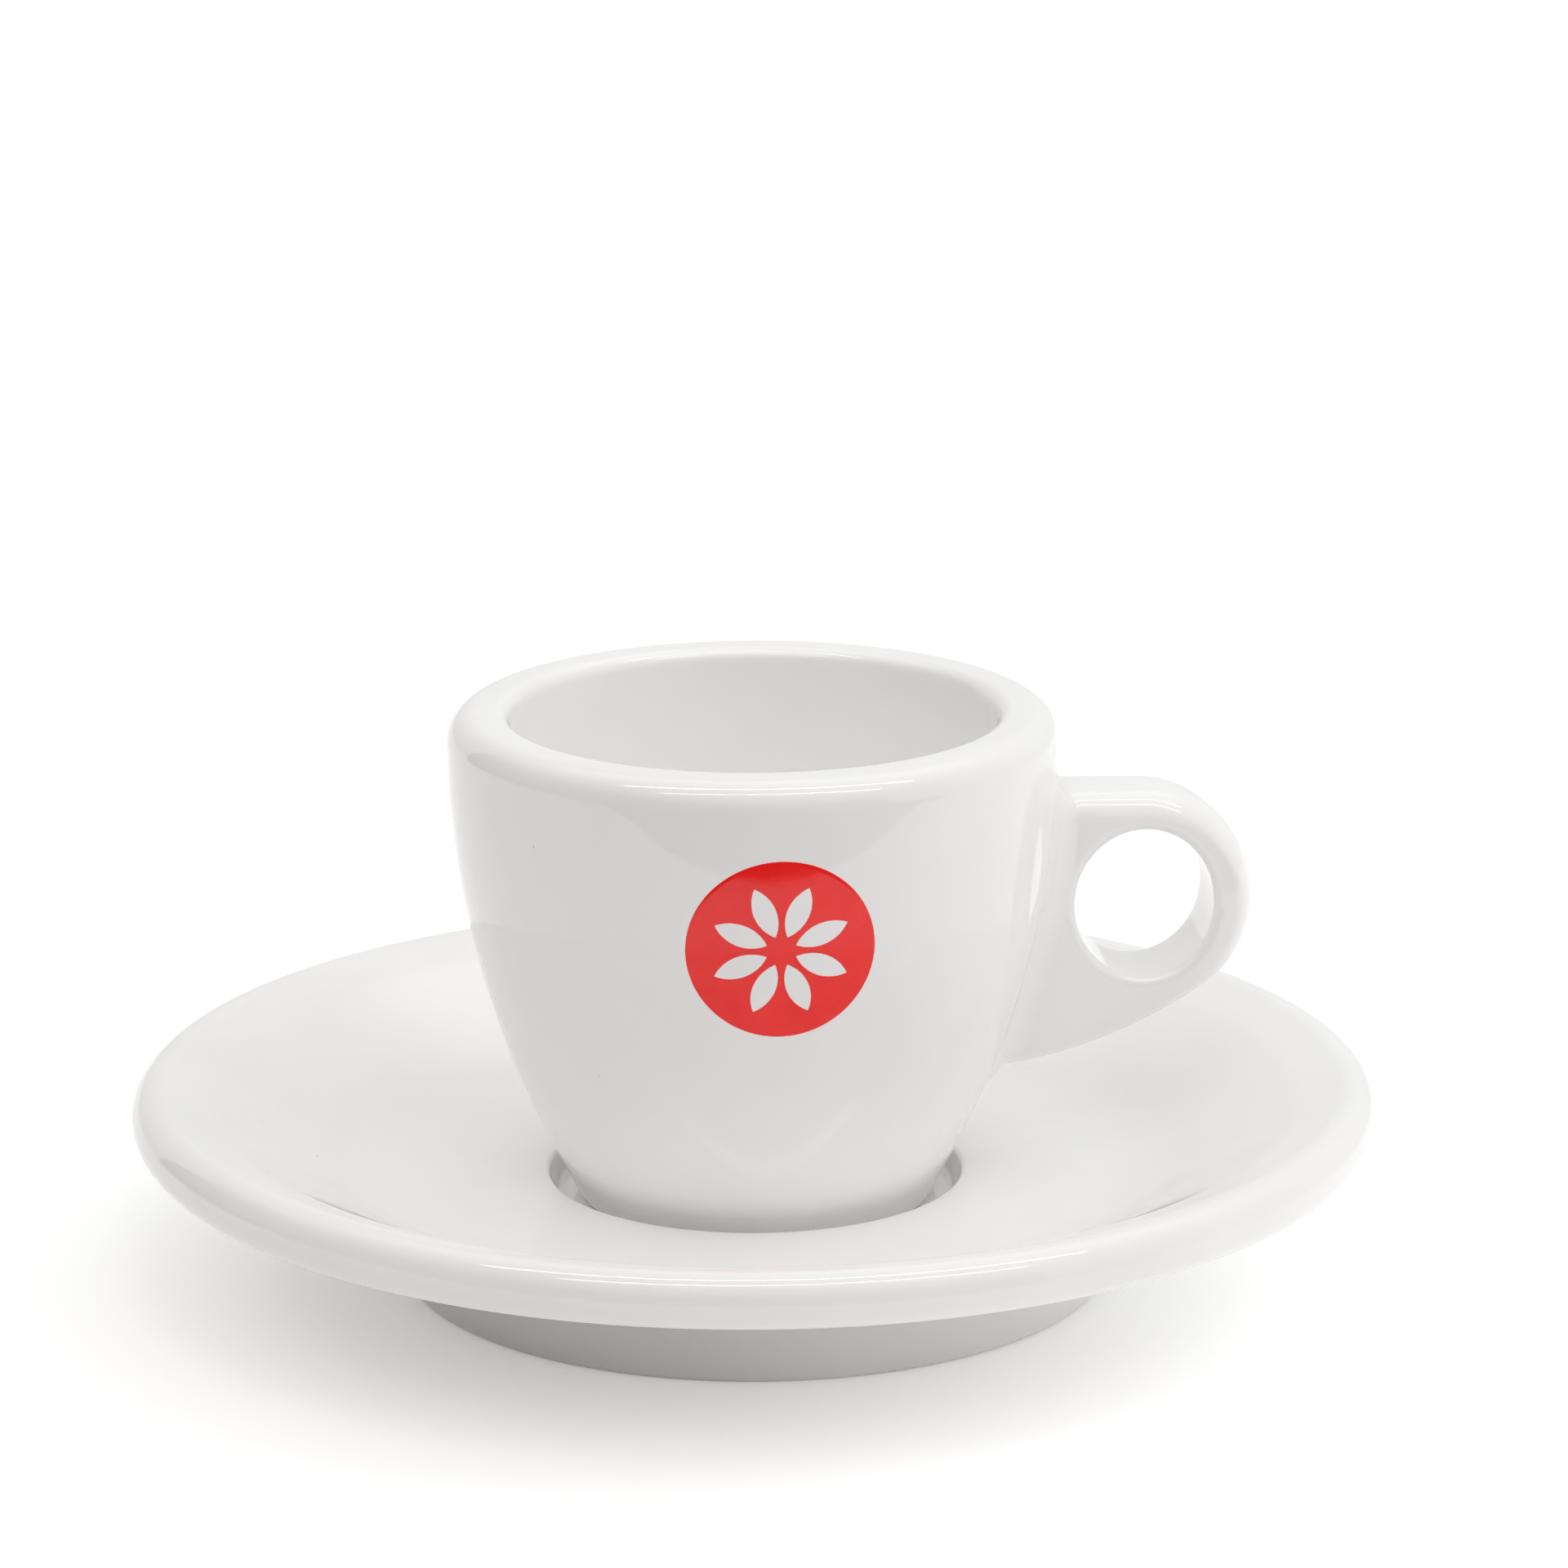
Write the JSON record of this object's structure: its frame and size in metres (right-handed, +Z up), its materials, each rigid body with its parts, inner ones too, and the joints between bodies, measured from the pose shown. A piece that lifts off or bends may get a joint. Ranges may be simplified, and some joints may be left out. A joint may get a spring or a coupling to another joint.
{
  "type": "espresso cup with saucer",
  "caption": "Thick-walled glazed espresso cup with a loop handle and a round front print, standing in the well of a shallow round saucer; the cup lifts off.",
  "frame": {"origin": "on the common axis of cup and saucer, on the table under the saucer's foot ring", "axes": "+Z up along the common axis, +X towards the handle, -Y towards the printed front"},
  "size_m": [0.125, 0.125, 0.058],
  "materials": {
    "saucer_glaze": "white gloss glaze, unglazed foot ring",
    "cup_glaze": "white gloss glaze, unglazed foot ring",
    "print_red": "fired-on red transfer, glossy"
  },
  "bodies": {
    "saucer": {"saucer": "saucer_glaze"},
    "cup": {"cup_body": "cup_glaze", "cup_handle": "cup_glaze", "front_print": "print_red"}
  },
  "joints": [
    {"name": "cup_lift", "type": "slide", "parent": "saucer", "child": "cup", "axis": [0, 0, 1], "range_m": [0, 0.08]}
  ]
}
